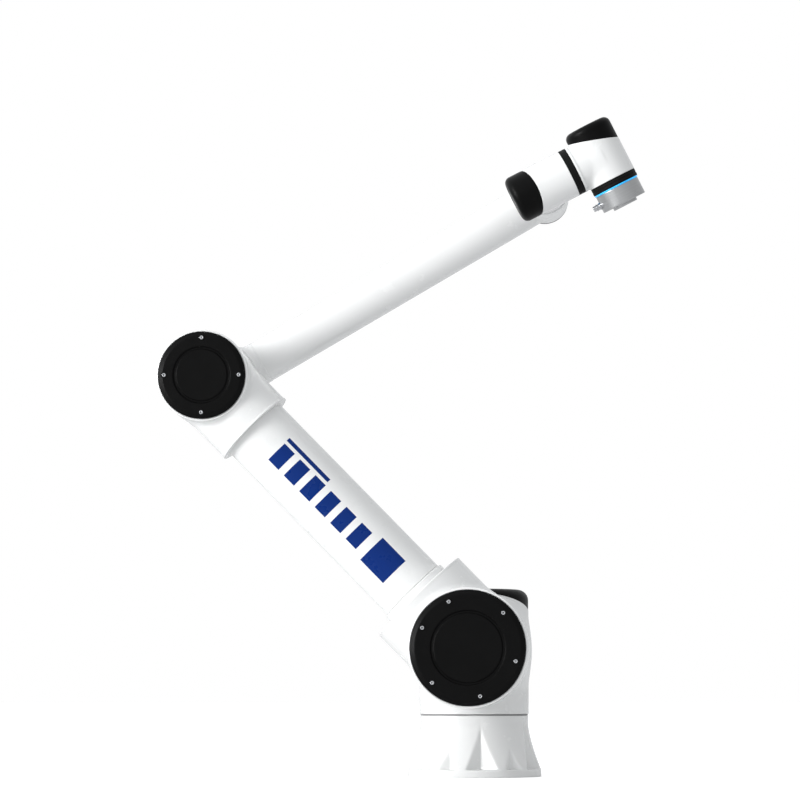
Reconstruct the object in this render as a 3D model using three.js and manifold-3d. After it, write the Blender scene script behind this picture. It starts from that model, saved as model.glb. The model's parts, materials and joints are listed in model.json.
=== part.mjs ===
// A six-axis collaborative robot arm in one raised pose, in millimetres, +Z up.
// The origin is the centre of the base's mounting face. The joint caps face -Y, the front.
// Every joint is the same module at three sizes: a housing along the joint's axis with a
// branch square to it, a cover at one end and a gear output, sealed by a ring, at the other.
import * as THREE from 'three';
import { mergeVertices } from 'three/addons/utils/BufferGeometryUtils.js';
import Module from 'manifold-3d';

const wasm = await Module();
wasm.setup();

// ---- driving dimensions ----
const GAP = 0.3;                 // between faces that touch
const ROUND = 28;                // sides of a visible round shape
const INNER_ROUND = 14;          // sides of a sealed round shape
const FINE_ROUND = 12;           // sides of a small round shape

const SHOULDER_HEIGHT = 200;     // shoulder lift axis above the mounting face
const UPPER_ARM_Y = -205;        // plane that the upper arm turns in
const FOREARM_Y = -65;           // plane that the forearm turns in
const WRIST_Y = -164;            // plane of the last two axes
const UPPER_ARM_LENGTH = 583;    // shoulder lift axis to elbow axis
const FOREARM_LENGTH = 606;      // elbow axis to first wrist axis
const WRIST_LENGTH = 101;        // first wrist axis to third wrist axis
const UPPER_ARM_ANGLE = 134.35;  // above +X, in the stored pose
const FOREARM_ANGLE = 30.25;
const WRIST_ANGLE = 27;
const WRIST_TILT = 7;             // tool flange turned this far to the back about the wrist

const LID_SLOPE = Math.tan(THREE.MathUtils.degToRad(17.8)); // slope of a lid's joint line

// r: outer radius; bore: inner radius; seam: axis of the branch to the output end of the housing;
// top: axis of the branch to the cover's joint line; cover: to the cover's outer face;
// gap: housing to the next link, filled by the seal ring
const LARGE = { r: 87, bore: 77, seam: 100.9, top: 62, cover: 96.5, gap: 2.6, edge: 17 };
const LARGE_CAPPED = { ...LARGE, r: 91.3, bore: 80, seam: 99, top: 86.5, cover: 96, cap: 87.5 };
const MEDIUM = { r: 70.3, bore: 60, seam: 83, top: 68, cover: 77, gap: 3, cap: 67 };
const SMALL = { r: 38, bore: 32, seam: 43.6, top: 23, cover: 52.5, gap: 11.6, edge: 10 };
const SMALL_CAPPED = { ...SMALL, r: 38.2, top: 34.6, cover: 53, cap: 37.8, seam: 52.6, gap: 2.6 };
const SMALL_LAST = { ...SMALL, top: 27.5, seam: 39, cover: 54.5 };

const BASE = { flange: 106.5, flangeThick: 12, neck: 86, flareTop: 82, top: 96.5, bore: 70, floor: 14 };
const FLARE_POWER = 1.4;         // above 1, so the skirt curves out to the flange
const GROOVES = [                // pockets down the base's skirt, for the mounting screws
  { radius: 86, halfAngle: 58, count: 6, first: -81.4 },
  { radius: 95, halfAngle: 60, count: 6, first: -51.4 },
];
const SOCKET = {                 // cable socket in the pocket at the back
  turn: THREE.MathUtils.degToRad(8.6), height: 46, boss: 17, hole: 11, face: 99,
};
const UPPER_TUBE = { r: 54, wall: 5, collar: 58, collarLength: 12 };
const FOREARM_TUBE = { r: 34, wall: 4 };
const UPPER_STUB = { r: 85, length: 112 };   // branch of the shoulder lift module
const ELBOW_STUB = { r: 65, length: 108 };     // branch of the elbow module
const ROOT = { r: 71.5, depth: 52, wall: 8, stub: 84 };  // forearm casting on the elbow's output
const WRIST_STUB = 44;           // length of the first wrist module's branch
const SHOULDER_STUB = 88.5;      // radius of the shoulder module's branch
const FLANGE = { r: 36, length: 27.5, boss: 20, bossHeight: 4.5, connectorDepth: 15 };
const LIGHT = { r: 37, thick: 2.4 };

// ---- materials ----
const paint = (color, roughness, metalness = 0) =>
  new THREE.MeshStandardMaterial({ color, roughness, metalness });
const WHITE = paint(0xf2f3f2, 0.25);
const BLACK = paint(0x18191a, 0.45);
const SEAL = paint(0x0c0c0d, 0.7);
const STEEL = paint(0x9a9da0, 0.3, 1);
const ALUMINIUM = paint(0xc4c6c8, 0.35, 1);
const COPPER = paint(0xa8683c, 0.4, 1);
const BOARD = paint(0x1f5a38, 0.5);
const LAMP = paint(0x35c4f0, 0.3);

// ---- shapes ----
/** Turn a profile of [radius, z] points, from the axis to the axis or round a ring, about Z. */
function turned(profile, sides = ROUND) {
  const area = profile.reduce((sum, [r, z], i) => {
    const [nextR, nextZ] = profile[(i + 1) % profile.length];
    return sum + r * nextZ - nextR * z;
  }, 0);
  const points = (area > 0 ? profile : [...profile].reverse()).map(([r, z]) => new THREE.Vector2(r, z));
  if (points[0].x > 0 || points.at(-1).x > 0) points.push(points[0].clone());
  return new THREE.LatheGeometry(points, sides).rotateX(Math.PI / 2);
}

const rod = (r, from, to, sides) => turned([[0, from], [r, from], [r, to], [0, to]], sides);
const ring = (inner, outer, from, to, sides) =>
  turned([[inner, from], [outer, from], [outer, to], [inner, to]], sides);
const alongX = (shape) => shape.rotateY(Math.PI / 2);

/** Points on a quarter round of a turned profile, from its side to its end. */
function roundedEdge(r, end, edge, steps = 3) {
  const points = [];
  for (let i = 0; i <= steps; i++) {
    const a = (i / steps) * Math.PI / 2;
    points.push([r - edge + edge * Math.cos(a), end - edge + edge * Math.sin(a)]);
  }
  return points;
}

function toSolid(shape) {
  const bare = shape.clone();
  bare.deleteAttribute('normal');
  bare.deleteAttribute('uv');
  const merged = mergeVertices(bare, 1e-4);
  const corners = [];
  for (let i = 0; i < merged.index.count; i += 3) {
    const [a, b, c] = [0, 1, 2].map((k) => merged.index.getX(i + k));
    if (a !== b && b !== c && c !== a) corners.push(a, b, c);
  }
  return new wasm.Manifold(new wasm.Mesh({
    numProp: 3,
    vertProperties: new Float32Array(merged.attributes.position.array),
    triVerts: new Uint32Array(corners),
  }));
}

function toShape(solid) {
  const mesh = solid.getMesh();
  const shape = new THREE.BufferGeometry();
  shape.setAttribute('position', new THREE.BufferAttribute(mesh.vertProperties, 3));
  shape.setIndex(new THREE.BufferAttribute(mesh.triVerts, 1));
  shape.computeVertexNormals();
  return shape;
}

const join = (...shapes) => toShape(shapes.map(toSolid).reduce((a, b) => a.add(b)));
const cut = (shape, ...tools) =>
  toShape(tools.map(toSolid).reduce((a, b) => a.subtract(b), toSolid(shape)));

/** A half space as a box: everything above (+1) or below (-1) a lid's sloping joint line. */
function lidSide(height, side, size = 400) {
  return new THREE.BoxGeometry(size, size, size)
    .translate(0, 0, side * size / 2)
    .rotateY(-Math.atan(LID_SLOPE))
    .translate(0, 0, height);
}

// ---- scene graph helpers ----
const arm = new THREE.Group();

/** A group whose local X is the branch's direction and local Z the cover's. */
function moduleFrame(origin, branch, cover) {
  const group = new THREE.Group();
  const x = branch.clone().normalize();
  const z = cover.clone().normalize();
  const y = new THREE.Vector3().crossVectors(z, x);
  group.quaternion.setFromRotationMatrix(new THREE.Matrix4().makeBasis(x, y, z));
  group.position.copy(origin);
  arm.add(group);
  return group;
}

function addPiece(group, name, shape, material) {
  const mesh = new THREE.Mesh(toShape(toSolid(shape)), material);
  mesh.name = name;
  group.add(mesh);
  return mesh;
}

const inPlane = (degrees) => {
  const a = THREE.MathUtils.degToRad(degrees);
  return new THREE.Vector3(Math.cos(a), 0, Math.sin(a));
};

// ---- joint modules ----
/** The housing: a tube along Z with a hollow branch along X that ends in a bolting face. */
function housingShape(m, branch, end) {
  const shell = join(rod(m.r, -m.seam, end), alongX(rod(branch.r, 0, branch.length)));
  return cut(shell,
    rod(m.bore, -m.seam - 1, end + 1),
    alongX(rod(branch.r - 9, 0, branch.length - 10)),
    alongX(rod(branch.r * 0.55, 0, branch.length + 1, INNER_ROUND)));
}

/** A black lid on a sloping joint line, lower on the side away from the branch. */
function lidShape(m) {
  const wall = 4;
  const foot = m.top - m.r * LID_SLOPE - 1;
  const outside = turned([[0, foot], [m.r - 0.6, foot], ...roundedEdge(m.r - 0.6, m.cover, m.edge), [0, m.cover]]);
  return cut(outside, rod(m.r - wall - 3, foot - 1, m.cover - wall - 3), lidSide(m.top + GAP, -1));
}

/** A round cap with a bevelled rim, a ring groove and a slightly dished centre. */
function capShape(m) {
  const groove = m.cap * 0.65;
  return turned([
    [0, m.top + GAP], [m.cap, m.top + GAP], [m.cap, m.cover - 4], [m.cap - 4, m.cover],
    [groove + 1.5, m.cover], [groove, m.cover - 1.5], [groove - 1.5, m.cover - 0.8], [0, m.cover - 0.8],
  ]);
}

/** The working parts of a joint, stacked from the output end towards the cover. */
function addDrive(group, joint, m) {
  const start = -m.seam;
  const k = m.bore / 77;                       // axial and radial scale of the module
  const small = m.bore < 40;
  const shaft = small ? 9 : 18 * k;
  const bearing = { inner: m.bore - (small ? 6 : 13 * k), tall: small ? 7 : 14 * k };
  const hub = bearing.inner * 0.975 - 0.5;
  const flex = hub - (small ? 3.5 : 8 * k);
  const cup = small ? 22 : 46 * k;
  const rotor = flex * 0.72;
  const motor = { from: cup + 4 * k, to: cup + (small ? 20 : 32 * k) };
  const shaftEnd = motor.to + 10 * k;

  addPiece(group, `${joint}_seal_ring`,
    ring(m.r - (small ? 7 : 9), m.r - (small ? 0 : 1.6), start - m.gap + GAP, start - GAP), SEAL);
  addPiece(group, `${joint}_output_bearing`,
    ring(bearing.inner, m.bore - 0.7, start + 2, start + 2 + bearing.tall, INNER_ROUND), STEEL);
  addPiece(group, `${joint}_gear_output`, turned([
    [shaft + 3, start - m.gap + GAP], [hub, start - m.gap + GAP], [hub, start + 2 + bearing.tall],
    [flex, start + 4 + bearing.tall], [flex, start + cup], [flex - 2, start + cup],
    [flex - 2, start + 7 + bearing.tall], [shaft + 3, start + 7 + bearing.tall],
  ], INNER_ROUND), STEEL);
  if (!small) {
    addPiece(group, `${joint}_gear_ring`,
      ring(flex * 1.02 + 1, m.bore - 0.7, start + cup - 16 * k, start + cup, INNER_ROUND), STEEL);
  }
  addPiece(group, `${joint}_rotor`, turned([
    [shaft - 3, start + 1], [shaft, start + 1], [shaft, start + cup - 10 * k], [flex - 5, start + cup - 10 * k],
    [flex - 5, start + cup - 1], [shaft, start + cup - 1], [shaft, start + motor.from + 2],
    [rotor, start + motor.from + 2], [rotor, start + motor.to - 2], [shaft, start + motor.to - 2],
    [shaft, start + shaftEnd], [shaft - 3, start + shaftEnd],
  ], INNER_ROUND), STEEL);
  addPiece(group, `${joint}_stator`,
    ring(rotor * 1.02 + 1, m.bore - 0.7, start + motor.from, start + motor.to, INNER_ROUND), COPPER);
  addPiece(group, `${joint}_drive_board`,
    ring(shaft + 3, m.bore - 1.5, start + shaftEnd + 2, start + shaftEnd + 4, INNER_ROUND), BOARD);
}

// ---- axes ----
const FRONT = new THREE.Vector3(0, -1, 0);
const BACK = new THREE.Vector3(0, 1, 0);
const UP = new THREE.Vector3(0, 0, 1);
const upperArm = inPlane(UPPER_ARM_ANGLE);
const forearm = inPlane(FOREARM_ANGLE);
const wristAxis = inPlane(WRIST_ANGLE);
const wristUp = inPlane(WRIST_ANGLE + 90)
  .applyAxisAngle(wristAxis, THREE.MathUtils.degToRad(WRIST_TILT));

const shoulderAt = new THREE.Vector3(0, 0, SHOULDER_HEIGHT);
const liftAt = new THREE.Vector3(0, UPPER_ARM_Y, SHOULDER_HEIGHT);
const elbowAt = liftAt.clone().addScaledVector(upperArm, UPPER_ARM_LENGTH);
const rootAt = elbowAt.clone().setY(FOREARM_Y);
const wrist1At = rootAt.clone().addScaledVector(forearm, FOREARM_LENGTH);
const wrist2At = wrist1At.clone().setY(WRIST_Y);
const wrist3At = wrist2At.clone().addScaledVector(wristAxis, WRIST_LENGTH);

// ---- base ----
/** The skirt's outer radius: the neck, then a flare that eases out to the flange. */
function skirtProfile() {
  const steps = 4;
  const points = [[BASE.neck, BASE.top], [BASE.neck, BASE.flareTop]];
  for (let i = 1; i <= steps; i++) {
    const t = i / steps;
    const z = BASE.flareTop + (BASE.flangeThick - BASE.flareTop) * t;
    points.push([BASE.neck + (BASE.flange - 0.5 - BASE.neck) * t ** FLARE_POWER, z]);
  }
  return points;
}

/** An upright wedge that opens outwards from a crease at the given radius. */
function grooveTool({ radius, halfAngle }, angle) {
  const reach = 40;
  const spread = reach * Math.tan(THREE.MathUtils.degToRad(halfAngle));
  const outline = new THREE.Shape([
    new THREE.Vector2(radius, 0), new THREE.Vector2(radius + reach, -spread), new THREE.Vector2(radius + reach, spread),
  ]);
  return new THREE.ExtrudeGeometry(outline, { depth: BASE.top, bevelEnabled: false })
    .translate(0, 0, BASE.flangeThick)
    .rotateZ(THREE.MathUtils.degToRad(angle));
}

function baseCasting() {
  const body = turned([
    [0, 0], [BASE.flange, 0], [BASE.flange, BASE.flangeThick], ...skirtProfile().reverse(),
    [BASE.bore, BASE.top], [BASE.bore, BASE.floor], [0, BASE.floor],
  ], 36);
  const grooves = GROOVES.flatMap((groove) => Array.from({ length: groove.count }, (_, i) =>
    grooveTool(groove, groove.first + i * 360 / groove.count)));
  return cut(body, ...grooves);
}

/** The casting with its bolting deck and, at the back, a boss that holds the cable socket. */
function addBase() {
  const place = (shape) => shape.rotateX(-Math.PI / 2).rotateZ(SOCKET.turn).translate(0, 0, SOCKET.height);
  const deck = ring(40, BASE.bore + 2, BASE.top - 10, BASE.top);
  const boss = cut(place(rod(SOCKET.boss, 60, SOCKET.face)), rod(BASE.bore, 0, BASE.top));
  const window = place(rod(SOCKET.hole, 50, SOCKET.face + 1, FINE_ROUND));
  addPiece(arm, 'base_casting', cut(join(baseCasting(), deck, boss), window), WHITE);
  const { face, hole } = SOCKET;
  addPiece(arm, 'base_cable_socket', place(turned([
    [0, 68], [hole - 0.7, 68], [hole - 0.7, face + GAP], [hole + 3, face + GAP], [hole + 3, face + 5],
    [hole - 2, face + 5], [hole - 2, face - 6], [0, face - 6],
  ], FINE_ROUND)), BLACK);
}

// ---- shoulder ----
function addShoulder() {
  const group = moduleFrame(shoulderAt, FRONT, UP);
  const m = LARGE;
  const branchEnd = -UPPER_ARM_Y - LARGE_CAPPED.seam - LARGE_CAPPED.gap;
  const tall = m.top + m.r * LID_SLOPE + 1;
  const shell = housingShape(m, { r: SHOULDER_STUB, length: branchEnd }, tall);
  addPiece(group, 'shoulder_housing', cut(shell, lidSide(m.top, 1)), WHITE);
  addPiece(group, 'shoulder_lid', lidShape(m), BLACK);
  addDrive(group, 'j1', m);
}

// ---- upper arm ----
function addUpperArm() {
  const group = moduleFrame(liftAt, upperArm, FRONT);
  addPiece(group, 'shoulder_lift_housing', housingShape(LARGE_CAPPED, UPPER_STUB, LARGE_CAPPED.top), WHITE);
  addPiece(group, 'shoulder_lift_cap', capShape(LARGE_CAPPED), BLACK);
  addDrive(group, 'j2', LARGE_CAPPED);

  const collarFrom = UPPER_STUB.length + GAP;
  const collarTo = collarFrom + UPPER_TUBE.collarLength;
  const tubeEnd = UPPER_ARM_LENGTH - ELBOW_STUB.length - GAP;
  const inner = UPPER_TUBE.r - UPPER_TUBE.wall;
  addPiece(group, 'upper_arm_collar', alongX(ring(inner, UPPER_TUBE.collar, collarFrom, collarTo)), WHITE);
  addPiece(group, 'upper_arm_tube', alongX(ring(inner, UPPER_TUBE.r, collarTo + GAP, tubeEnd)), WHITE);

  const elbow = moduleFrame(elbowAt, upperArm.clone().negate(), FRONT);
  addPiece(elbow, 'elbow_housing', housingShape(MEDIUM, ELBOW_STUB, MEDIUM.top), WHITE);
  addPiece(elbow, 'elbow_cap', capShape(MEDIUM), BLACK);
  addDrive(elbow, 'j3', MEDIUM);
}

// ---- forearm ----
function addForearm() {
  const group = moduleFrame(rootAt, forearm, BACK);
  const face = UPPER_ARM_Y + MEDIUM.seam + MEDIUM.gap - FOREARM_Y;
  const cup = turned([
    [0, ROOT.depth], [ROOT.r - 12, ROOT.depth], [ROOT.r, ROOT.depth - 12], [ROOT.r, face], [26, face],
    [26, face + ROOT.wall], [ROOT.r - ROOT.wall, face + ROOT.wall],
    [ROOT.r - ROOT.wall, ROOT.depth - 16], [ROOT.r - 18, ROOT.depth - ROOT.wall], [0, ROOT.depth - ROOT.wall],
  ]);
  const inner = FOREARM_TUBE.r - FOREARM_TUBE.wall;
  const branch = alongX(turned([
    [0, 40], [FOREARM_TUBE.r + 12, 40], [FOREARM_TUBE.r + 12, ROOT.r - 2], [FOREARM_TUBE.r + 3, ROOT.stub - 6],
    [FOREARM_TUBE.r + 3, ROOT.stub], [0, ROOT.stub],
  ]));
  addPiece(group, 'forearm_root_housing', cut(join(cup, cut(branch, rod(ROOT.r - ROOT.wall, -60, 60))),
    alongX(rod(inner, 0, ROOT.stub + 1, INNER_ROUND))), WHITE);
  addPiece(group, 'forearm_tube', alongX(ring(inner, FOREARM_TUBE.r, ROOT.stub + GAP,
    FOREARM_LENGTH - WRIST_STUB - GAP)), WHITE);

  const wrist = moduleFrame(wrist1At, forearm.clone().negate(), BACK);
  addPiece(wrist, 'wrist_1_drive_housing', housingShape(SMALL_CAPPED,
    { r: FOREARM_TUBE.r, length: WRIST_STUB }, SMALL_CAPPED.top), WHITE);
  addPiece(wrist, 'wrist_1_drive_cap', capShape(SMALL_CAPPED), BLACK);
  addDrive(wrist, 'j4', SMALL_CAPPED);
}

// ---- wrist ----
function addLiddedLink(group, name, m, branch, joint) {
  const tall = m.top + m.r * LID_SLOPE + 1;
  addPiece(group, `${name}_housing`, cut(housingShape(m, branch, tall), lidSide(m.top, 1)), WHITE);
  addPiece(group, `${name}_lid`, lidShape(m), BLACK);
  addDrive(group, joint, m);
}

function addWrist() {
  const second = moduleFrame(wrist2At, BACK, wristAxis.clone().negate());
  addLiddedLink(second, 'wrist_2', SMALL, { r: SMALL.r, length: SMALL.seam }, 'j5');
  const third = moduleFrame(wrist3At, wristAxis.clone().negate(), wristUp);
  const reach = WRIST_LENGTH - SMALL.seam - SMALL.gap - GAP;
  addLiddedLink(third, 'wrist_3', SMALL_LAST, { r: SMALL.r, length: reach }, 'j6');
  addTool(third);
}

/** The light ring and the tool flange, below the last joint's seal ring. */
function addTool(group) {
  const lightTop = -SMALL_LAST.seam - SMALL_LAST.gap;
  const flangeTop = lightTop - LIGHT.thick;
  const bottom = flangeTop - FLANGE.length;
  addPiece(group, 'status_light_ring', ring(LIGHT.r - 6, LIGHT.r, flangeTop + GAP, lightTop), LAMP);
  const body = turned([
    [0, bottom - FLANGE.bossHeight], [FLANGE.boss, bottom - FLANGE.bossHeight], [FLANGE.boss, bottom],
    [FLANGE.r, bottom], [FLANGE.r, flangeTop], [LIGHT.r - 7, flangeTop], [LIGHT.r - 7, lightTop], [0, lightTop],
  ]);
  const connectorZ = flangeTop - FLANGE.connectorDepth;
  const seat = alongX(rod(5.2, 0, 14, FINE_ROUND)).translate(FLANGE.r - 8, 0, connectorZ);
  addPiece(group, 'tool_flange', cut(body, seat), ALUMINIUM);
  const connector = alongX(turned([
    [0, -7.5], [4.9, -7.5], [4.9, 3], [5.6, 3], [5.6, 6], [4.2, 6], [4.2, 12], [2.6, 12], [2.6, 5], [0, 5],
  ], FINE_ROUND)).translate(FLANGE.r, 0, connectorZ);
  addPiece(group, 'tool_connector', connector, STEEL);
}

addBase();
addShoulder();
addUpperArm();
addForearm();
addWrist();

export default arm;
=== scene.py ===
"""Looks of a six-axis collaborative robot arm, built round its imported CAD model.

Shapes are worked out in millimetres in each joint module's own frame, where Z is the joint's
axis towards its cover and X is the branch to the next link, and are placed in metres.
Castings are signed distance fields, so their branches blend with real fillets; everything
turned on a lathe is a profile with rounded corners.
"""
import json
import math

import bpy
import numpy as np
from mathutils import Matrix, Vector


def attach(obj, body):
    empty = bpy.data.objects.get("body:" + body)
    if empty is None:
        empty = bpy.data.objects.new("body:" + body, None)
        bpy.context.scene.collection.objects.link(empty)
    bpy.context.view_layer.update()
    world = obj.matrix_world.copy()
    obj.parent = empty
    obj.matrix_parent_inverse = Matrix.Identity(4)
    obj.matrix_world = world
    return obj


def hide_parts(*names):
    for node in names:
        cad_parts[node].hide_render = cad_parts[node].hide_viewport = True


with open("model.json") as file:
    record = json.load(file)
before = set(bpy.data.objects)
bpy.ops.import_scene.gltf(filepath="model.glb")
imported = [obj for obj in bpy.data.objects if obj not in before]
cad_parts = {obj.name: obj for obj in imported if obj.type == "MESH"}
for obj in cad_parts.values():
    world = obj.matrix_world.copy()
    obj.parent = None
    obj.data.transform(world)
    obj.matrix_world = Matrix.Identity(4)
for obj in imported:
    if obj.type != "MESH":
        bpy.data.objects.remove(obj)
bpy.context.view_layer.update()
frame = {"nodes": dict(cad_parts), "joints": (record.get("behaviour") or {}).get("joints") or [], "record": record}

MM = 0.001

# ---- sizes, in millimetres, as in the CAD model ----
LID_SLOPE = math.tan(math.radians(17.8))
SEAM_GAP = 0.4
LARGE = dict(r=87, bore=77, seam=100.9, top=62, cover=96.5, gap=2.6, edge=17)
LIFT = dict(r=91.3, bore=80, seam=99, top=86.5, cover=96, gap=2.6, cap=87.5)
ELBOW = dict(r=70.3, bore=60, seam=83, top=68, cover=77, gap=3, cap=67)
WRIST = dict(r=38, bore=32, seam=43.6, top=23, cover=52.5, gap=11.6, edge=10)
WRIST_CAPPED = dict(WRIST, r=38.2, top=34.6, cover=53, cap=37.8, seam=52.6, gap=2.6)
WRIST_LAST = dict(WRIST, top=27.5, seam=39, cover=54.5)
BASE = dict(flange=106.5, thick=12, neck=86, top=96.5, bore=70, flare_top=82)
GROOVES = ((86, 58, -81.4), (95, 60, -51.4))   # crease radius, half angle, first angle
SOCKET = dict(turn=98.6, height=46, boss=17, hole=11, face=99)
UPPER_TUBE = dict(r=54, wall=5, collar=58, collar_length=12)
FOREARM_TUBE = dict(r=34, wall=4)
WRIST_STUB = 44
UPPER_STUB = dict(r=85, length=112)
ELBOW_STUB = dict(r=65, length=108)
ROOT = dict(r=71.5, depth=52, wall=8, stub=84)
FLANGE = dict(r=36, length=27.5, boss=20, boss_height=4.5, bolt_circle=25)
LIGHT = dict(r=37, thick=2.4)
FLARE_POWER = 1.4

# ---- places, from the joints ----
JOINTS = {j["name"]: j for j in frame["joints"]}


def joint_at(name):
    return Vector(JOINTS[name]["pos_m"])


LIFT_AT = joint_at("shoulder_lift")
ELBOW_AT = joint_at("elbow")
SHOULDER_AT = Vector((0, 0, LIFT_AT.z))
WRIST_1_AT = joint_at("wrist_1_swing")
WRIST_3_AT = joint_at("wrist_2_roll")
WRIST_2_AT = Vector((WRIST_1_AT.x, WRIST_3_AT.y, WRIST_1_AT.z))
ROOT_AT = Vector((ELBOW_AT.x, WRIST_1_AT.y, ELBOW_AT.z))
UPPER_LENGTH = (ELBOW_AT - LIFT_AT).length / MM
FOREARM_LENGTH = (WRIST_1_AT - ROOT_AT).length / MM
FRONT, BACK, UP = Vector((0, -1, 0)), Vector((0, 1, 0)), Vector((0, 0, 1))
UPPER_DIR = (ELBOW_AT - LIFT_AT).normalized()
FOREARM_DIR = (WRIST_1_AT - ROOT_AT).normalized()
WRIST_DIR = Vector(JOINTS["wrist_2_roll"]["axis"]).normalized()
WRIST_UP = Vector(JOINTS["tool_rotation"]["axis"]).normalized()


def module_frame(origin, branch, cover):
    """Local millimetres to the row frame: local X is the branch, local Z the cover."""
    x, z = branch.normalized(), cover.normalized()
    y = z.cross(x)
    turn = Matrix((x, y, z)).transposed().to_4x4()
    return Matrix.Translation(origin) @ turn @ Matrix.Scale(MM, 4)


FRAMES = {
    "base": Matrix.Scale(MM, 4),
    "j1": module_frame(SHOULDER_AT, FRONT, UP),
    "j2": module_frame(LIFT_AT, UPPER_DIR, FRONT),
    "j3": module_frame(ELBOW_AT, -UPPER_DIR, FRONT),
    "root": module_frame(ROOT_AT, FOREARM_DIR, BACK),
    "j4": module_frame(WRIST_1_AT, -FOREARM_DIR, BACK),
    "j5": module_frame(WRIST_2_AT, BACK, -WRIST_DIR),
    "j6": module_frame(WRIST_3_AT, -WRIST_DIR, WRIST_UP),
}


# ---- materials ----
class Nodes:
    """A material's node tree with short calls to add and link nodes."""

    def __init__(self, name):
        self.material = bpy.data.materials.new(name)
        self.material.use_nodes = True
        self.tree = self.material.node_tree
        self.shader = self.tree.nodes["Principled BSDF"]
        self.coords = self.tree.nodes.new("ShaderNodeTexCoord").outputs["Object"]

    def add(self, kind, **inputs):
        node = self.tree.nodes.new(kind)
        for key, value in inputs.items():
            by_number = key[0] == "i" and key[1:].isdigit()
            socket = node.inputs[int(key[1:]) if by_number else key]
            if isinstance(value, bpy.types.NodeSocket):
                self.tree.links.new(value, socket)
            else:
                socket.default_value = value
        return node

    def math(self, operation, a, b=0.0, clamp=False):
        node = self.add("ShaderNodeMath", i0=a, i1=b)
        node.operation, node.use_clamp = operation, clamp
        return node.outputs[0]

    def noise(self, scale, detail=3.0, rough=0.5, coords=None):
        return self.add("ShaderNodeTexNoise", Vector=coords or self.coords, Scale=scale,
                        Detail=detail, Roughness=rough).outputs["Fac"]

    def spread(self, value, low, high):
        """Map a value that lies round a half to low..high."""
        return self.add("ShaderNodeMapRange", i0=value, i1=0.3, i2=0.7, i3=low, i4=high).outputs[0]

    def mix(self, factor, a, b):
        node = self.tree.nodes.new("ShaderNodeMix")
        node.data_type = "RGBA"
        for socket, value in ((node.inputs[0], factor), (node.inputs[6], a), (node.inputs[7], b)):
            if isinstance(value, bpy.types.NodeSocket):
                self.tree.links.new(value, socket)
            else:
                socket.default_value = value
        return node.outputs[2]

    def bump(self, height, strength, distance):
        out = self.add("ShaderNodeBump", Strength=strength, Distance=distance, Height=height).outputs[0]
        self.tree.links.new(out, self.shader.inputs["Normal"])

    def set(self, **values):
        for key, value in values.items():
            socket = self.shader.inputs[key.replace("_", " ")]
            if isinstance(value, bpy.types.NodeSocket):
                self.tree.links.new(value, socket)
            else:
                socket.default_value = value
        return self.material


def grey(value, alpha=1.0):
    return (value, value, value, alpha)


def paint_colour(n, low=0.815, high=0.835):
    """White enamel, a shade darker where dust settles, from a broad noise."""
    broad = n.spread(n.noise(9.0, 2.0), 0.0, 1.0)
    return n.mix(broad, (low, low * 1.005, low, 1), (high, high * 1.004, high * 0.998, 1))


def white_paint():
    n = Nodes("white_paint")
    n.bump(n.noise(520.0, 2.0), 0.05, 0.0004)
    return n.set(Base_Color=paint_colour(n), Roughness=n.spread(n.noise(40.0, 4.0), 0.22, 0.28),
                 Coat_Weight=0.45, Coat_Roughness=0.06, Specular_IOR_Level=0.5)


def black_plastic():
    n = Nodes("black_cover")
    n.bump(n.noise(1600.0, 2.0, 0.7), 0.16, 0.0003)
    dust = n.spread(n.noise(26.0, 5.0, 0.65), 0.0, 0.35)
    colour = n.mix(dust, grey(0.002), grey(0.005))
    return n.set(Base_Color=colour, Roughness=n.spread(n.noise(60.0, 4.0), 0.34, 0.44),
                 Specular_IOR_Level=0.09)


def seal_rubber(name, dark, light):
    n = Nodes(name)
    n.bump(n.noise(900.0, 3.0), 0.2, 0.0003)
    return n.set(Base_Color=n.mix(n.noise(80.0), grey(dark), grey(light)),
                 Roughness=n.spread(n.noise(120.0), 0.5, 0.65), Specular_IOR_Level=0.12)


def turned_metal(name, colour, low, high, pitch):
    """Lathe-cut metal: fine rings round local Z, with brighter and duller streaks."""
    n = Nodes(name)
    xyz = n.add("ShaderNodeSeparateXYZ", Vector=n.coords).outputs
    squares = [n.math("MULTIPLY", value, value) for value in (xyz[0], xyz[1])]
    radius = n.math("SQRT", n.math("ADD", *squares))
    across = n.math("ADD", radius, n.math("MULTIPLY", xyz[2], 1.37))
    flat = n.add("ShaderNodeCombineXYZ", X=across, Y=0.0, Z=0.0).outputs[0]
    rings = n.noise(pitch, 2.0, 0.6, flat)
    n.bump(rings, 0.25, 0.0002)
    dark = tuple(c * 0.8 for c in colour)
    return n.set(Base_Color=n.mix(n.spread(rings, 0.0, 1.0), (*dark, 1), (*colour, 1)), Metallic=1.0,
                 Roughness=n.spread(n.noise(60.0, 4.0), low, high))


def cast_texture(name, colour, rough, scale, metallic=0.0):
    """Plain worn stock for what sits inside: gears, windings and boards."""
    n = Nodes(name)
    n.bump(n.noise(scale, 4.0), 0.3, 0.0004)
    dark = tuple(c * 0.6 for c in colour)
    return n.set(Base_Color=n.mix(n.noise(scale / 6), (*dark, 1), (*colour, 1)), Metallic=metallic,
                 Roughness=n.spread(n.noise(scale / 3), rough, rough + 0.15))


def light_ring_plastic():
    n = Nodes("status_light")
    glow = n.mix(n.spread(n.noise(50.0), 0.0, 1.0), (0.02, 0.36, 0.80, 1), (0.05, 0.50, 0.95, 1))
    n.bump(n.noise(700.0), 0.05, 0.0002)
    return n.set(Base_Color=glow, Roughness=n.spread(n.noise(90.0), 0.25, 0.35),
                 Emission_Color=glow, Emission_Strength=0.7)


# along the tube from the shoulder lift axis, and round it from the front, in millimetres
MARKING = dict(bars_from=228.0, pitch=34.0, duty=0.66, bars=6, bar_half=18.0, block=187.0,
               block_half=25.0, line=377.0, line_half=45.0, line_side=27.0, line_thick=7.0)


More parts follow.
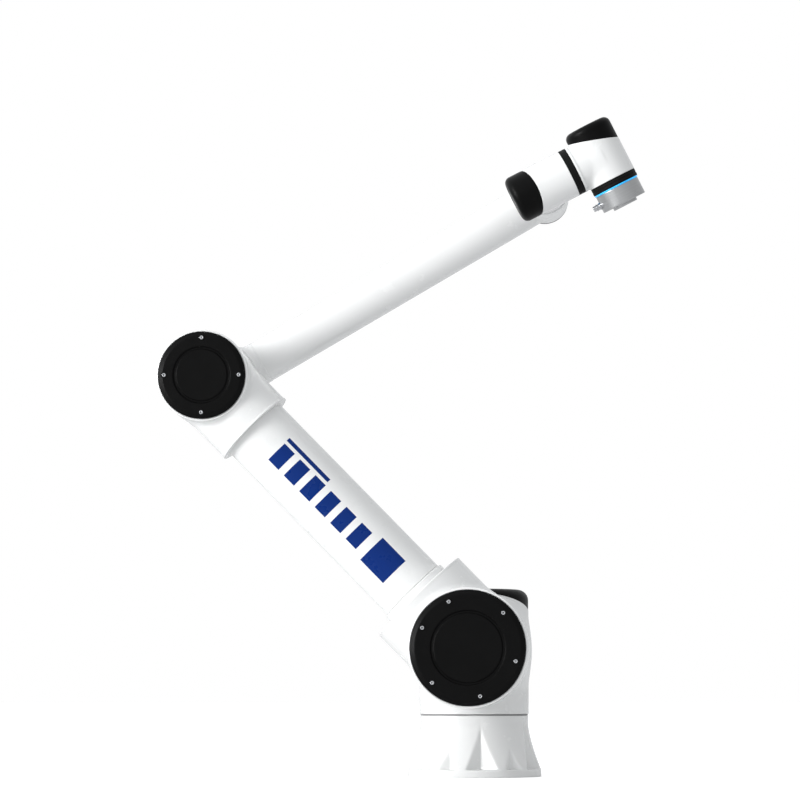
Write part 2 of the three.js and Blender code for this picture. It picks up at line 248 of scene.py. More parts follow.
def marking_mask(n):
    """One inside the upper arm's marking (a block, six bars and a line), nought outside it."""
    xyz = n.add("ShaderNodeSeparateXYZ", Vector=n.coords).outputs
    along = n.math("DIVIDE", xyz[2], MM)
    side = n.math("MULTIPLY", n.math("ARCTAN2", xyz[1], xyz[0]), float(UPPER_TUBE["r"]))

    def within(value, centre, half):
        return n.math("LESS_THAN", n.math("ABSOLUTE", n.math("SUBTRACT", value, centre)), half)

    first, pitch = MARKING["bars_from"], MARKING["pitch"]
    half_row = pitch * MARKING["bars"] / 2
    step = n.math("FRACT", n.math("DIVIDE", n.math("SUBTRACT", along, first), pitch))
    bars = n.math("MULTIPLY", n.math("LESS_THAN", step, MARKING["duty"]),
                  within(side, 0.0, MARKING["bar_half"]))
    bars = n.math("MULTIPLY", bars, within(along, first + half_row, half_row))
    block = n.math("MULTIPLY", within(along, MARKING["block"], MARKING["block_half"]),
                   within(side, 0.0, MARKING["block_half"]))
    line = n.math("MULTIPLY", within(along, MARKING["line"], MARKING["line_half"]),
                  within(side, MARKING["line_side"], MARKING["line_thick"] / 2))
    return n.math("MAXIMUM", n.math("MAXIMUM", bars, block), line)


def marked_paint():
    """The upper arm tube's enamel, with its plain blue marking printed in a flatter ink."""
    n = Nodes("white_paint_marked")
    mask = marking_mask(n)
    n.bump(n.noise(520.0, 2.0), 0.05, 0.0004)
    blue = n.mix(n.noise(30.0), (0.0004, 0.022, 0.16, 1), (0.0006, 0.024, 0.175, 1))
    ink_or_coat = n.math("MULTIPLY", n.math("SUBTRACT", 1.0, mask), 0.5)
    return n.set(Base_Color=n.mix(mask, paint_colour(n), blue), Coat_Weight=ink_or_coat, Coat_Roughness=0.06,
                 Roughness=n.spread(n.noise(40.0, 4.0), 0.26, 0.32), Specular_IOR_Level=0.16)


WHITE = white_paint()
BLACK = black_plastic()
SEAL = seal_rubber("seal_rubber", 0.003, 0.007)
GREY_SEAL = seal_rubber("seal_rubber_grey", 0.28, 0.36)
STEEL = turned_metal("machined_steel", (0.62, 0.63, 0.65), 0.2, 0.32, 1400.0)
ALUMINIUM = turned_metal("tool_aluminium", (0.57, 0.575, 0.58), 0.26, 0.38, 900.0)
LAMP = light_ring_plastic()
MARKED = marked_paint()
INNER_LOOKS = {
    "machined_steel": cast_texture("gear_steel", (0.55, 0.56, 0.58), 0.25, 300.0, 1.0),
    "motor_winding": cast_texture("motor_winding", (0.62, 0.30, 0.14), 0.35, 900.0, 1.0),
    "circuit_board": cast_texture("circuit_board", (0.02, 0.12, 0.05), 0.35, 400.0),
}
SLOT_LOOKS = {"white_paint": WHITE, "black_cover": BLACK, "seal_rubber": SEAL, "status_light": LAMP,
              "machined_steel": STEEL, "tool_aluminium": ALUMINIUM}


# ---- making and placing pieces ----
def add_piece(name, points, faces, place, body, slot, replaces=(), material=None, sharp=35.0):
    """An object from local millimetre points; its own axes stay the module's, for its textures."""
    mesh = bpy.data.meshes.new(name)
    turn = place.to_quaternion().to_matrix().to_4x4()
    mesh.from_pydata((np.asarray(points) * MM).tolist(), [], faces)
    mesh.validate()
    mesh.shade_smooth()
    if sharp:
        mesh.set_sharp_from_angle(angle=math.radians(sharp))
    mesh.materials.append(material or SLOT_LOOKS[slot])
    piece = bpy.data.objects.new(name, mesh)
    bpy.context.scene.collection.objects.link(piece)
    piece.matrix_world = Matrix.Translation(place.translation) @ turn
    bpy.context.view_layer.update()
    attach(piece, body)
    if replaces:
        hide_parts(*replaces)
    return piece


# ---- turned shapes ----
def rounded(profile, closed):
    """Swap each [r, z, fillet, shear] corner for an arc of its fillet; shear tilts its ring."""
    out, count = [], len(profile)
    for i, (r, z, fillet, shear) in enumerate(profile):
        if fillet <= 0 or (not closed and i in (0, count - 1)):
            out.append((r, z, shear))
            continue
        here = np.array((r, z), float)
        before = np.array(profile[i - 1][:2], float) - here
        after = np.array(profile[(i + 1) % count][:2], float) - here
        a, b = before / np.linalg.norm(before), after / np.linalg.norm(after)
        half = math.acos(np.clip(a @ b, -1, 1)) / 2
        if half > math.radians(88):
            out.append((r, z, shear))
            continue
        shorter = min(np.linalg.norm(before), np.linalg.norm(after))
        reach = min(fillet / math.tan(half), shorter * 0.49)
        radius = reach * math.tan(half)
        middle = here + (a + b) / np.linalg.norm(a + b) * radius / math.sin(half)
        first, last = here + a * reach - middle, here + b * reach - middle
        sweep = math.pi - 2 * half
        turn = np.sign(first[0] * last[1] - first[1] * last[0])
        steps = max(3, int(math.degrees(sweep) / 15))
        for k in range(steps + 1):
            t = turn * sweep * k / steps
            c, s = math.cos(t), math.sin(t)
            p = middle + (first[0] * c - first[1] * s, first[0] * s + first[1] * c)
            out.append((p[0], p[1], shear))
    return out


def turned_mesh(profile, segments):
    """Points and faces of a profile turned about Z. Entries are (r, z[, fillet[, shear]])."""
    full = [(*p, *(0.0,) * (4 - len(p))) for p in profile]
    closed = full[0][0] > 0
    outline = rounded(full, closed)
    area = sum(a[0] * b[1] - b[0] * a[1] for a, b in zip(outline, outline[1:] + outline[:1]))
    if area < 0:
        outline.reverse()
    angles = np.arange(segments) * 2 * math.pi / segments
    points, rows = [], []
    for r, z, shear in outline:
        if r < 1e-6:
            rows.append([len(points)] * segments)
            points.append((0.0, 0.0, z))
            continue
        rows.append(list(range(len(points), len(points) + segments)))
        for a in angles:
            x = r * math.cos(a)
            points.append((x, r * math.sin(a), z + shear * LID_SLOPE * x))
    faces = []
    pairs = list(zip(rows, rows[1:])) + ([(rows[-1], rows[0])] if closed else [])
    for low, high in pairs:
        for i in range(segments):
            j = (i + 1) % segments
            face = [low[i], low[j], high[j], high[i]]
            faces.append([v for k, v in enumerate(face) if v not in face[:k]])
    return points, faces


def turned(name, profile, place, body, slot, replaces=(), segments=144, material=None, at=None):
    """A turned piece. at moves the turned shape's axis within the module's frame."""
    points, faces = turned_mesh(profile, segments)
    where = place @ at if at else place
    piece = add_piece(name, points, faces, where, body, slot, replaces, material)
    weigh = piece.modifiers.new("weighted_normals", "WEIGHTED_NORMAL")
    weigh.keep_sharp = True
    return piece


ALONG_X = Matrix.Rotation(math.pi / 2, 4, "Y")


# ---- castings: signed distance fields meshed with a surface net ----
def cylinder(p, r, low, high, edge=0.0):
    side = np.hypot(p[..., 0], p[..., 1]) - (r - edge)
    end = np.abs(p[..., 2] - (low + high) / 2) - ((high - low) / 2 - edge)
    outside = np.hypot(np.maximum(side, 0), np.maximum(end, 0))
    return outside + np.minimum(np.maximum(side, end), 0) - edge


def along_x(p):
    return p[..., [1, 2, 0]]


def fillet_join(a, b, radius):
    """Union whose inner corner is an arc of that radius."""
    near = np.hypot(np.maximum(radius - a, 0), np.maximum(radius - b, 0))
    return np.maximum(radius, np.minimum(a, b)) - near


def edge_cut(a, b, radius):
    """a less b, with the new outer edge rounded to that radius."""
    return -fillet_join(-a, b, radius)


def surface_net(field, low, step):
    """Quads through the zero level of a grid of values: one point in each cell that it crosses."""
    inside = field < 0
    shape = np.array(field.shape) - 1
    total, hits = np.zeros((*shape, 3)), np.zeros(shape)
    corner = np.stack(np.meshgrid(*[np.arange(s) for s in shape], indexing="ij"), -1).astype(float)
    for axis in range(3):
        u, v = [k for k in range(3) if k != axis]
        for du in (0, 1):
            for dv in (0, 1):
                start = np.zeros(3, int)
                start[[u, v]] = du, dv
                stop = start.copy()
                stop[axis] = 1
                a = field[tuple(slice(s, s + n) for s, n in zip(start, shape))]
                b = field[tuple(slice(s, s + n) for s, n in zip(stop, shape))]
                crossed = (a < 0) != (b < 0)
                t = np.where(crossed, a / np.where(crossed, a - b, 1), 0)
                at = corner + start
                at[..., axis] += t
                total += np.where(crossed[..., None], at, 0)
                hits += crossed
    used = hits > 0
    index = np.full(shape, -1)
    index[used] = np.arange(used.sum())
    points = total[used] / hits[used][:, None] * step + low
    faces = []
    for axis in range(3):
        u, v = [(1, 2), (2, 0), (0, 1)][axis]
        a = inside[tuple(slice(1, -1) if k != axis else slice(0, -1) for k in range(3))]
        b = inside[tuple(slice(1, -1) if k != axis else slice(1, None) for k in range(3))]
        where = np.argwhere(a != b)
        flip = a[tuple(where.T)]
        where[:, [u, v]] += 1
        ring = []
        for du, dv in ((1, 1), (0, 1), (0, 0), (1, 0)):
            cell = where.copy()
            cell[:, u] -= du
            cell[:, v] -= dv
            ring.append(index[tuple(cell.T)])
        quads = np.stack(ring, 1)
        quads[~flip] = quads[~flip][:, ::-1]
        faces.append(quads)
    return points, np.concatenate(faces)


def casting(name, shape, low, high, step, place, body, slot, replaces=(), material=None):
    """A casting from shape(points), a distance in millimetres that is negative inside."""
    low, high = np.array(low, float) - 2 * step, np.array(high, float) + 2 * step
    axes = [np.arange(a, b + step, step) for a, b in zip(low, high)]
    grid = np.stack(np.meshgrid(*axes, indexing="ij"), -1)
    points, faces = surface_net(shape(grid), low, step)
    small = 0.05
    for _ in range(5):
        value = shape(points)
        rises = [shape(points + d) - shape(points - d) for d in np.eye(3) * small]
        slope = np.stack(rises, -1) / (2 * small)
        points = points - slope * (value / np.maximum((slope ** 2).sum(-1), 0.25))[:, None]
    return add_piece(name, points, faces.tolist(), place, body, slot, replaces, material, sharp=None)


def housing_field(m, branch_r, branch_end, fillet, lid=False, rim=2.5, neck=None):
    """A module housing with its branch, hollow like the CAD one, as a distance field."""
    neck = neck or branch_r

    def shape(p):
        top = m["top"] - rim if not lid else m["top"] + m["r"] * LID_SLOPE + 4
        body = cylinder(p, m["r"], -m["seam"] + rim, top, 0.8)
        branch = cylinder(along_x(p), neck, 0, branch_end - rim, 0.8)
        solid = fillet_join(body, branch, fillet)
        if lid:
            plane = (p[..., 2] - p[..., 0] * LID_SLOPE - (m["top"] - rim)) / math.hypot(1, LID_SLOPE)
            solid = np.maximum(solid, plane)
        bore = cylinder(p, m["bore"], -m["seam"] - 9, m["cover"] + 20)
        pocket = cylinder(along_x(p), branch_r - 9, 0, branch_end - 10)
        hole = cylinder(along_x(p), branch_r * 0.55, 0, branch_end + 9)
        return np.maximum(solid, -np.minimum(np.minimum(bore, pocket), hole))

    return shape


def rim_profile(outer, inner, low, high, edge=0.8):
    return [(inner, low, 0.3), (outer, low, edge), (outer, high, edge), (inner, high, 0.3)]


# ---- covers ----
def add_lid(name, m, place, body, node):
    """A lid with a sloping joint line, a rounded shoulder and a shallow flat top."""
    r, wall = m["r"] - 0.3, 4.0
    foot = m["top"] + SEAM_GAP
    groove = (m["r"] - m["edge"]) * 0.86
    turned(name, [
        (0, m["cover"] - wall), (r - wall - 6, m["cover"] - wall, 6), (r - wall, foot + 0.1, 0, 1),
        (r - 0.9, foot, 0.3, 1), (r, foot + 0.9, 0.5, 1), (r, m["cover"] - m["edge"] * 1.02, 0.0),
        *[(r - m["edge"] + m["edge"] * math.cos(a), m["cover"] - m["edge"] + m["edge"] * math.sin(a))
          for a in np.linspace(0.08, math.pi / 2, 12)],
        (groove + 1.2, m["cover"], 0.4), (groove + 0.4, m["cover"] - 0.9, 0.3),
        (groove - 0.4, m["cover"] - 0.9, 0.3), (groove - 1.2, m["cover"], 0.4), (0, m["cover"]),
    ], place, body, "black_cover", (node,))


def add_cap(name, m, place, body, node, screw_angles, screw_circle):
    """A round cap: bevelled rim, ring groove, slightly dished middle and sunk cap screws."""
    r, top, groove = m["cap"], m["cover"], m["cap"] * 0.62
    k = 1.0 if r > 50 else 0.5
    turned(name, [
        (0, m["top"] + SEAM_GAP), (r - 1, m["top"] + SEAM_GAP, 0.4), (r - 0.6, m["top"] + 3, 0.4),
        (r, m["top"] + 3.4, 0.5), (r, top - 4.4, 2.0), (r - 7.0, top - 0.4, 5),
        (groove + 3.2 * k, top, 1.5 * k), (groove + 1.0 * k, top - 2.4 * k, 0.6),
        (groove - 1.0 * k, top - 2.4 * k, 0.6), (groove - 3.0 * k, top - 0.6, 1.5 * k),
        (groove * 0.6, top - 0.9, 8), (0, top - 1.0),
    ], place, body, "black_cover", (node,), segments=192)
    for i, angle in enumerate(screw_angles):
        a = math.radians(angle)
        at = Matrix.Translation((screw_circle * math.cos(a), screw_circle * math.sin(a), top - 1.6))
        add_screw(f"{name}_screw_{i + 1}", place @ at, body, m["cap"] > 50)


def add_screw(name, place, body, large):
    """A button-head cap screw with a hexagon socket, in the dark lip of its counterbore."""
    k = 1.0 if large else 0.55
    head, tall, socket = 3.3 * k, 2.0 * k, 1.1 * k
    turned(f"{name}_seat", [
        (head, 1.0 * k), (head, 1.9 * k, 0.1), (head + 1.6 * k, 1.9 * k, 0.5), (head + 1.9 * k, 1.0 * k),
    ], place, body, "black_cover", segments=32)
    segments = 36
    points, faces = turned_mesh([
        (0, -1.0), (head, -1.0), (head, tall * 0.6, 0.3), (head * 0.86, tall, 0.3), (socket * 1.3, tall, 0.1),
    ], segments)
    outer = [i for i, p in enumerate(points) if abs(math.hypot(p[0], p[1]) - socket * 1.3) < 1e-6]
    rings = [outer[-segments:]]
    for scale, z in ((1.0, tall - 0.15), (1.0, tall - 0.9 * k)):
        start = len(points)
        for j in range(segments):
            a = 2 * math.pi * j / segments
            flat = socket / max(math.cos((a + math.pi / 6) % (math.pi / 3) - math.pi / 6), 0.1)
            points.append((flat * scale * math.cos(a), flat * scale * math.sin(a), z))
        rings.append(list(range(start, start + segments)))
    for low, high in zip(rings, rings[1:]):
        for j in range(segments):
            after = (j + 1) % segments
            faces.append([low[j], low[after], high[after], high[j]])
    faces.append(rings[-1])
    add_piece(name, points, faces, place, body, "machined_steel", material=STEEL, sharp=30.0)


# ---- seal rings ----
def add_seal(joint, m, place, body, wide):
    """The ring between a housing and the next link; a wide one has a fine parting groove."""
    low, high = -m["seam"] - m["gap"] + SEAM_GAP / 2, -m["seam"] - SEAM_GAP / 2
    outer, inner = m["r"] - (0.2 if wide else 1.2), m["r"] - (7 if wide else 9)
    low, high = (low, high) if wide else (low + 0.1, high - 0.1)
    if wide:
        middle = (low + high) / 2
        profile = [(inner, low), (outer, low, 0.8), (outer, middle - 0.7, 0.25), (outer - 0.7, middle, 0.2),
                   (outer, middle + 0.7, 0.25), (outer, high, 0.8), (inner, high)]
    else:
        profile = [(inner, low), (outer, low, 0.5), (outer, high, 0.5), (inner, high)]
    turned(f"{joint}_seal", profile, place, body, "seal_rubber", (f"{joint}_seal_ring",),
           material=SEAL if wide else GREY_SEAL)


# ---- base ----
def skirt_radius(z):
    t = np.clip((BASE["flare_top"] - z) / (BASE["flare_top"] - BASE["thick"]), 0, 1)
    return BASE["neck"] + (BASE["flange"] - 0.5 - BASE["neck"]) * t ** FLARE_POWER


def wedge(p, radius, half_angle, first):
    """Distance to the nearest of six upright wedges that open outwards from a crease."""
    angle = np.degrees(np.arctan2(p[..., 1], p[..., 0])) - first
    near = np.radians((angle + 30) % 60 - 30)
    flat = np.hypot(p[..., 0], p[..., 1])
    x, y = flat * np.cos(near) - radius, np.abs(flat * np.sin(near))
    a = math.radians(half_angle)
    return y * math.cos(a) - x * math.sin(a)


def base_field(p):
    flat, z = np.hypot(p[..., 0], p[..., 1]), p[..., 2]
    lean = 0.95
    skirt = np.maximum((flat - skirt_radius(z)) * lean, np.maximum(z - (BASE["top"] - 3), -z))
    for radius, half_angle, first in GROOVES:
        groove = np.maximum(wedge(p, radius, half_angle, first), BASE["thick"] - 1 - z)
        skirt = edge_cut(skirt, groove, 1.6)
    flange = cylinder(p, BASE["flange"], 0, BASE["thick"], 0.9)
    solid = fillet_join(skirt, flange, 1.4)
    turn = math.radians(SOCKET["turn"])
    out = p[..., 0] * math.cos(turn) + p[..., 1] * math.sin(turn)
    side = -p[..., 0] * math.sin(turn) + p[..., 1] * math.cos(turn)
    local = np.stack([side, z - SOCKET["height"], out], -1)
    solid = fillet_join(solid, cylinder(local, SOCKET["boss"], 60, SOCKET["face"], 1.2), 3)
    solid = edge_cut(solid, cylinder(local, SOCKET["hole"], 50, SOCKET["face"] + 9), 0.6)
    solid = np.maximum(solid, -cylinder(p, BASE["bore"], 14, 200))
    first = GROOVES[0][2]
    near = np.radians((np.degrees(np.arctan2(p[..., 1], p[..., 0])) - first + 30) % 60 - 30)
    hole = np.stack([flat * np.cos(near) - 97.0, flat * np.sin(near), z], -1)
    return edge_cut(solid, cylinder(hole, 4.3, -9, 40), 0.5)


def add_base():
    r = BASE["flange"]
    casting("base_casting_shell", base_field, (-r, -r, 0), (r, r, BASE["top"] - 3), 1.9, FRAMES["base"],
            "base", "white_paint", ("base_casting",))
    turned("base_neck_rim", rim_profile(BASE["neck"] + 0.15, 60, BASE["top"] - 5, BASE["top"], 0.9),
           FRAMES["base"], "base", "white_paint")
    turn = Matrix.Rotation(math.radians(SOCKET["turn"]), 4, "Z")
    at = turn @ Matrix.Translation((0, 0, SOCKET["height"])) @ ALONG_X
    hole, face = SOCKET["hole"], SOCKET["face"]
    turned("base_socket_shell", [
        (0, 68), (hole - 0.7, 68), (hole - 0.7, face + 0.3), (hole + 3, face + 0.3, 0.5),
        (hole + 3, face + 5, 1.0), (hole - 1.5, face + 5, 0.8), (hole - 1.5, face - 6, 0.5), (0, face - 6),
    ], FRAMES["base"], "base", "black_cover", ("base_cable_socket",), segments=64, at=at)
    for i in range(6):
        a = i * math.pi / 3
        pin = Matrix.Translation((4.6 * math.cos(a), 4.6 * math.sin(a), 0))
        turned(f"base_socket_pin_{i + 1}", [
            (0, face - 7), (0.9, face - 7), (0.9, face - 1, 0.5), (0, face - 0.6)],
            FRAMES["base"], "base", "machined_steel", segments=16, at=at @ pin)


# ---- links ----
def add_shoulder():
    m, place = LARGE, FRAMES["j1"]
    end = -LIFT_AT.y / MM - LIFT["seam"] - LIFT["gap"]
    reach = m["r"] + 2
    casting("shoulder_shell", housing_field(m, 88.5, end, 16, lid=True), (-reach, -reach - 2, -m["seam"]),
            (end, reach + 2, m["top"] + 32), 2.1, place, "shoulder", "white_paint", ("shoulder_housing",))
    turned("shoulder_foot_rim", rim_profile(m["r"] + 0.15, m["bore"], -m["seam"], -m["seam"] + 5),
           place, "shoulder", "white_paint")
    turned("shoulder_lid_rim", [
        (m["bore"], m["top"] - 5, 0, 1), (m["r"] + 0.15, m["top"] - 5, 0.4, 1),
        (m["r"] + 0.15, m["top"], 0.8, 1), (m["bore"], m["top"], 0.3, 1)], place, "shoulder", "white_paint")
    turned("shoulder_branch_rim", rim_profile(88.65, 60, end - 5, end), place, "shoulder",
           "white_paint", at=ALONG_X)
    add_lid("shoulder_lid_shell", m, place, "shoulder", "shoulder_lid")
    add_seal("j1", m, place, "shoulder", wide=False)


def capped_housing(prefix, m, stub, place, body, node, fillet, step):
    reach = m["r"] + 2
    casting(f"{prefix}_shell", housing_field(m, stub["r"], stub["length"], fillet),
            (-reach, -reach, -m["seam"]), (stub["length"], reach, m["top"]), step, place, body,
            "white_paint", (node,))
    turned(f"{prefix}_seam_rim", rim_profile(m["r"] + 0.15, m["bore"], -m["seam"], -m["seam"] + 5),
           place, body, "white_paint")
    turned(f"{prefix}_cap_rim", [
        (m["bore"], m["top"] - 5), (m["r"] + 0.15, m["top"] - 5, 0.4), (m["r"] + 0.15, m["top"] + 1.2, 1.6),
        (m["cap"] + 0.5, m["top"] + 2.6, 0.6), (m["cap"] + 0.5, m["top"], 0.2), (m["bore"], m["top"], 0.2),
    ], place, body, "white_paint", segments=192)


def add_upper_arm():
    place, body = FRAMES["j2"], "upper_arm"
    capped_housing("shoulder_lift", LIFT, UPPER_STUB, place, body, "shoulder_lift_housing", 9, 2.1)
    length = UPPER_STUB["length"]
    turned("shoulder_lift_stub_rim", rim_profile(UPPER_STUB["r"] + 0.15, 40, length - 5, length, 1.4),
           place, body, "white_paint", at=ALONG_X)
    add_cap("shoulder_lift_cap_shell", LIFT, place, body, "shoulder_lift_cap",
            (22, -22, 90, -90, 150, -150), 75)
    add_seal("j2", LIFT, place, body, wide=False)

    inner = UPPER_TUBE["r"] - UPPER_TUBE["wall"]
    start = UPPER_STUB["length"]
    collar_end = start + UPPER_TUBE["collar_length"]
    turned("upper_arm_collar_ring", [
        (inner, start), (UPPER_TUBE["collar"], start, 0.6), (UPPER_TUBE["collar"], collar_end, 1.6),
        (inner, collar_end)], place, body, "white_paint", ("upper_arm_collar",), at=ALONG_X)
    end, neck = UPPER_LENGTH - ELBOW_STUB["length"], UPPER_TUBE["r"] - 1.6
    front = ALONG_X @ Matrix.Rotation(math.pi, 4, "Z")
    turned("upper_arm_tube_shell", [
        (inner, collar_end - 2), (neck, collar_end - 2), (neck, collar_end + 0.6),
        (UPPER_TUBE["r"], collar_end + 1.4, 0.5), (UPPER_TUBE["r"], end), (inner, end)],
        place, body, "white_paint", ("upper_arm_tube",), material=MARKED, at=front)

    place = FRAMES["j3"]
    capped_housing("elbow", ELBOW, ELBOW_STUB, place, body, "elbow_housing", 8, 1.9)
    length, sleeve, lip = ELBOW_STUB["length"], ELBOW_STUB["r"] + 0.15, ELBOW_STUB["r"] + 1.1
    turned("elbow_stub_rim", [
        (36, length - 7), (sleeve, length - 7, 0.4), (sleeve, length - 3.6, 0.3),
        (lip, length - 2.6, 0.5), (lip, length, 0.5), (36, length)],
        place, body, "white_paint", at=ALONG_X)
    add_cap("elbow_cap_shell", ELBOW, place, body, "elbow_cap", (45.65, 135.65, 225.65, 315.65), 57.5)
    add_seal("j3", ELBOW, place, body, wide=False)


def root_field(p):
    """The forearm's root: a deep cup on the elbow's output, with the tube's stub filleted to it."""
    face = ROOT_FACE
    cup = cylinder(p, ROOT["r"], face + 2.5, ROOT["depth"], 0.8)
    cup = edge_cut(cup, -cylinder(p, ROOT["r"], face - 90, ROOT["depth"], 11), 0.5)
    stub = cylinder(along_x(p), FOREARM_TUBE["r"] + 0.6, 20, ROOT["stub"], 0.5)
    solid = fillet_join(cup, stub, 15)
    hollow = cylinder(p, ROOT["r"] - ROOT["wall"], face + ROOT["wall"], ROOT["depth"] - ROOT["wall"], 8)
    hole = cylinder(p, 26, face - 9, face + 20)
    wire = cylinder(along_x(p), FOREARM_TUBE["r"] - FOREARM_TUBE["wall"], 20, 130)
    return np.maximum(solid, -np.minimum(np.minimum(hollow, hole), wire))


ROOT_FACE = (LIFT_AT.y - WRIST_1_AT.y) / MM + ELBOW["seam"] + ELBOW["gap"]


def add_forearm():
    place, reach = FRAMES["root"], ROOT["r"] + 2
    casting("forearm_root_shell", root_field, (-reach, -reach, ROOT_FACE),
            (ROOT["stub"], reach, ROOT["depth"]), 1.9, place, "forearm", "white_paint",
            ("forearm_root_housing",))
    turned("forearm_root_rim", rim_profile(ROOT["r"] + 0.15, 40, ROOT_FACE, ROOT_FACE + 5), place, "forearm",
           "white_paint")
    stub = WRIST_STUB
    inner = FOREARM_TUBE["r"] - FOREARM_TUBE["wall"]
    outer, end = FOREARM_TUBE["r"] + 0.1, FOREARM_LENGTH - stub + 5
    turned("forearm_tube_shell", [
        (inner, ROOT["stub"] - 4), (outer, ROOT["stub"] - 4), (outer, end, 0.3), (inner, end)],
        place, "forearm", "white_paint", ("forearm_tube",), at=ALONG_X)
    m, place = WRIST_CAPPED, FRAMES["j4"]
    capped_housing("wrist_1_drive", m, dict(r=FOREARM_TUBE["r"], length=stub), place, "forearm",
                   "wrist_1_drive_housing", 5, 1.25)
    add_cap("wrist_1_drive_cap_shell", m, place, "forearm", "wrist_1_drive_cap", (45, 135, 225, 315), 29)
    add_seal("j4", m, place, "forearm", wide=False)


def lidded_link(prefix, m, end, place, body, joint):
    reach = m["r"] + 2
    field = housing_field(m, m["r"] - 1.2, end, 5, lid=True, rim=2.0)
    casting(f"{prefix}_shell", field, (-reach, -reach, -m["seam"]), (end, reach, m["top"] + 14), 1.2,
            place, body, "white_paint", (f"{prefix}_housing",))
    outer, foot, top = m["r"] + 0.1, -m["seam"], m["top"]
    turned(f"{prefix}_seam_rim", rim_profile(outer, m["bore"], foot, foot + 4, 0.6), place, body,
           "white_paint")
    turned(f"{prefix}_lid_rim", [
        (m["bore"], top - 4, 0, 1), (outer, top - 4, 0.3, 1), (outer, top, 0.6, 1),
        (m["bore"], top, 0.2, 1)], place, body, "white_paint")
    turned(f"{prefix}_branch_rim", rim_profile(outer, 20, end - 4, end, 0.6), place, body,
           "white_paint", at=ALONG_X)
    add_lid(f"{prefix}_lid_shell", m, place, body, f"{prefix}_lid")
    add_seal(joint, m, place, body, wide=True)


def add_wrist():
    lidded_link("wrist_2", WRIST, WRIST["seam"], FRAMES["j5"], "wrist_1", "j5")
    length = (WRIST_3_AT - WRIST_2_AT).length / MM
    reach = length - WRIST["seam"] - WRIST["gap"]
    lidded_link("wrist_3", WRIST_LAST, reach, FRAMES["j6"], "wrist_2", "j6")


def add_tool():
    """Light ring, tool flange with its bolt circle and boss, and the small round connector."""
    place, body = FRAMES["j6"], "tool_flange"
    light_top = -WRIST_LAST["seam"] - WRIST_LAST["gap"]
    top = light_top - LIGHT["thick"]
    bottom = top - FLANGE["length"]
    turned("status_light_band", [
        (LIGHT["r"] - 6, top + 0.2), (LIGHT["r"], top + 0.2, 0.5), (LIGHT["r"], light_top - 0.2, 0.5),
        (LIGHT["r"] - 6, light_top - 0.2)], place, body, "status_light", ("status_light_ring",))
    r, boss = FLANGE["r"], FLANGE["boss"]
    connector_z = top - 15

    def field(p):
        solid = cylinder(p, r, bottom, top, 0.9)
        solid = np.minimum(solid, cylinder(p, boss, bottom - FLANGE["boss_height"], bottom + 3, 0.6))
        solid = np.minimum(solid, cylinder(p, LIGHT["r"] - 7, top - 3, light_top))
        angle = np.arctan2(p[..., 1], p[..., 0])
        near = (angle + math.pi / 2) % (math.pi / 2) - math.pi / 4
        flat = np.hypot(p[..., 0], p[..., 1])
        bolt = np.stack([flat * np.cos(near) - FLANGE["bolt_circle"], flat * np.sin(near), p[..., 2]], -1)
        solid = edge_cut(solid, cylinder(bolt, 2.9, bottom - 20, bottom + 11), 0.4)
        centre = cylinder(p, 8, bottom - 20, bottom + 4)
        solid = edge_cut(solid, centre, 0.5)
        seat = p - np.array((r, 0, connector_z))
        solid = edge_cut(solid, cylinder(along_x(seat), 6.4, -2.4, 40), 0.4)
        return edge_cut(solid, cylinder(along_x(seat), 5.2, -8, 40), 0.3)

    casting("tool_flange_body", field, (-r, -r, bottom - 5), (r, r, light_top), 0.8, place, body,
            "tool_aluminium", ("tool_flange",), ALUMINIUM)
    at = Matrix.Translation((r, 0, connector_z)) @ ALONG_X
    turned("tool_connector_body", [
        (0, -7.4), (4.9, -7.4), (4.9, -1.2, 0.2), (5.8, -1.2, 0.3), (5.8, 1.6, 0.4), (4.9, 2.2, 0.2),
        (4.9, 5.4, 0.2), (5.5, 5.6, 0.2), (5.5, 6.6, 0.2), (4.4, 6.8, 0.2), (4.4, 12, 0.6),
        (3.3, 12, 0.4), (3.3, 7, 0.2), (0, 7),
    ], place, body, "machined_steel", ("tool_connector",), segments=64, at=at)


# ---- stage ----
def add_floor():
    mesh = bpy.data.meshes.new("floor")
    size = 30.0
    corners = [(-size, -size, 0), (size, -size, 0), (size, size, 0), (-size, size, 0)]
    mesh.from_pydata(corners, [], [(0, 1, 2, 3)])
    n = Nodes("floor")
    n.bump(n.noise(3.0), 0.02, 0.001)
    seen = n.tree.nodes.new("ShaderNodeLightPath").outputs["Is Camera Ray"]
    mesh.materials.append(n.set(Base_Color=n.mix(n.noise(0.6), grey(0.78), grey(0.82)), Roughness=0.8,
                                Specular_IOR_Level=0.1, Emission_Color=grey(1.0),
                                Emission_Strength=n.math("MULTIPLY", seen, 0.5)))
    floor = bpy.data.objects.new("floor", mesh)
    bpy.context.scene.collection.objects.link(floor)


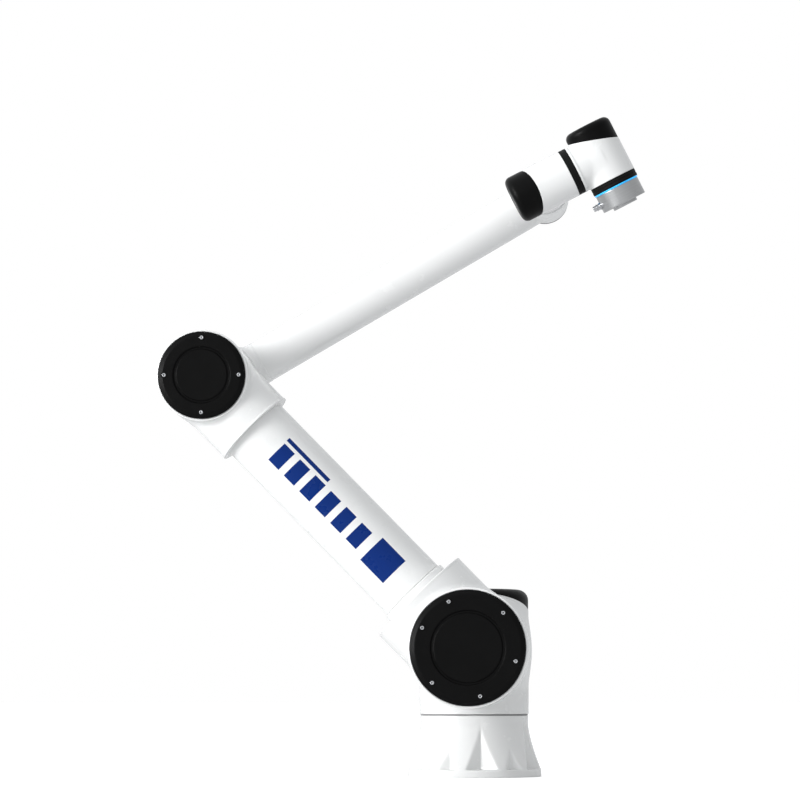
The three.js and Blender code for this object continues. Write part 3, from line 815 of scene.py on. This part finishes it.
def add_world():
    """Plain white for the camera; for what it lights, bright on the left and dim on the right."""
    world = bpy.data.worlds.new("studio")
    bpy.context.scene.world = world
    world.use_nodes = True
    tree = world.node_tree
    tree.nodes.clear()
    new, link = tree.nodes.new, tree.links.new
    out, mix, path = new("ShaderNodeOutputWorld"), new("ShaderNodeMixShader"), new("ShaderNodeLightPath")
    seen, room = new("ShaderNodeBackground"), new("ShaderNodeBackground")
    seen.inputs[0].default_value, seen.inputs[1].default_value = grey(1.0), 1.0
    coords, dot, ramp = new("ShaderNodeTexCoord"), new("ShaderNodeVectorMath"), new("ShaderNodeMapRange")
    dot.operation = "DOT_PRODUCT"
    dot.inputs[1].default_value = Vector(ROOM["from"]).normalized()
    for i, value in enumerate((-1.0, 1.0, ROOM["dim"], ROOM["bright"]), 1):
        ramp.inputs[i].default_value = value
    link(coords.outputs["Generated"], dot.inputs[0])
    link(dot.outputs["Value"], ramp.inputs[0])
    link(ramp.outputs[0], room.inputs[1])
    room.inputs[0].default_value = (0.97, 0.985, 1.0, 1)
    link(path.outputs["Is Camera Ray"], mix.inputs[0])
    link(room.outputs[0], mix.inputs[1])
    link(seen.outputs[0], mix.inputs[2])
    link(mix.outputs[0], out.inputs[0])


def add_light(name, place, aim, size, power, spread):
    data = bpy.data.lights.new(name, "AREA")
    data.shape, data.size, data.energy = "DISK", size, power
    data.spread = math.radians(spread)
    light = bpy.data.objects.new(name, data)
    light.location = place
    light.rotation_euler = (Vector(aim) - Vector(place)).to_track_quat("-Z", "Y").to_euler()
    bpy.context.scene.collection.objects.link(light)


ROOM = {"from": (-0.86, 0.0, 0.50), "dim": 0.38, "bright": 1.08}
CAMERA = dict(at=(0.1621, -5.0994, 0.13465), yaw=-3.1499, pitch=5.2343, lens=143.15)


def add_camera():
    data = bpy.data.cameras.new("camera")
    data.lens, data.sensor_width = CAMERA["lens"], 36.0
    data.clip_start, data.clip_end = 0.1, 100.0
    camera = bpy.data.objects.new("camera", data)
    yaw, pitch = math.radians(CAMERA["yaw"]), math.radians(CAMERA["pitch"])
    aim = Vector((math.sin(yaw) * math.cos(pitch), math.cos(yaw) * math.cos(pitch), math.sin(pitch)))
    camera.location = CAMERA["at"]
    camera.rotation_euler = aim.to_track_quat("-Z", "Y").to_euler()
    bpy.context.scene.collection.objects.link(camera)
    bpy.context.scene.camera = camera


def dress_inner_nodes():
    """Give the CAD pieces that stay, all inside the joints, their own materials."""
    for part in frame["record"]["subparts"]:
        node, slot = frame["nodes"][part["node"]], part["material_slot"]
        if slot in INNER_LOOKS:
            node.data.materials.clear()
            node.data.materials.append(INNER_LOOKS[slot])


add_camera()
add_world()
add_floor()
add_light("key", (-4.1, -2.9, 1.2), (-0.1, -0.1, 0.75), 3.2, 22, 40)
bpy.context.scene.view_settings.view_transform = "Standard"

add_base()
add_shoulder()
add_upper_arm()
add_forearm()
add_wrist()
add_tool()
dress_inner_nodes()
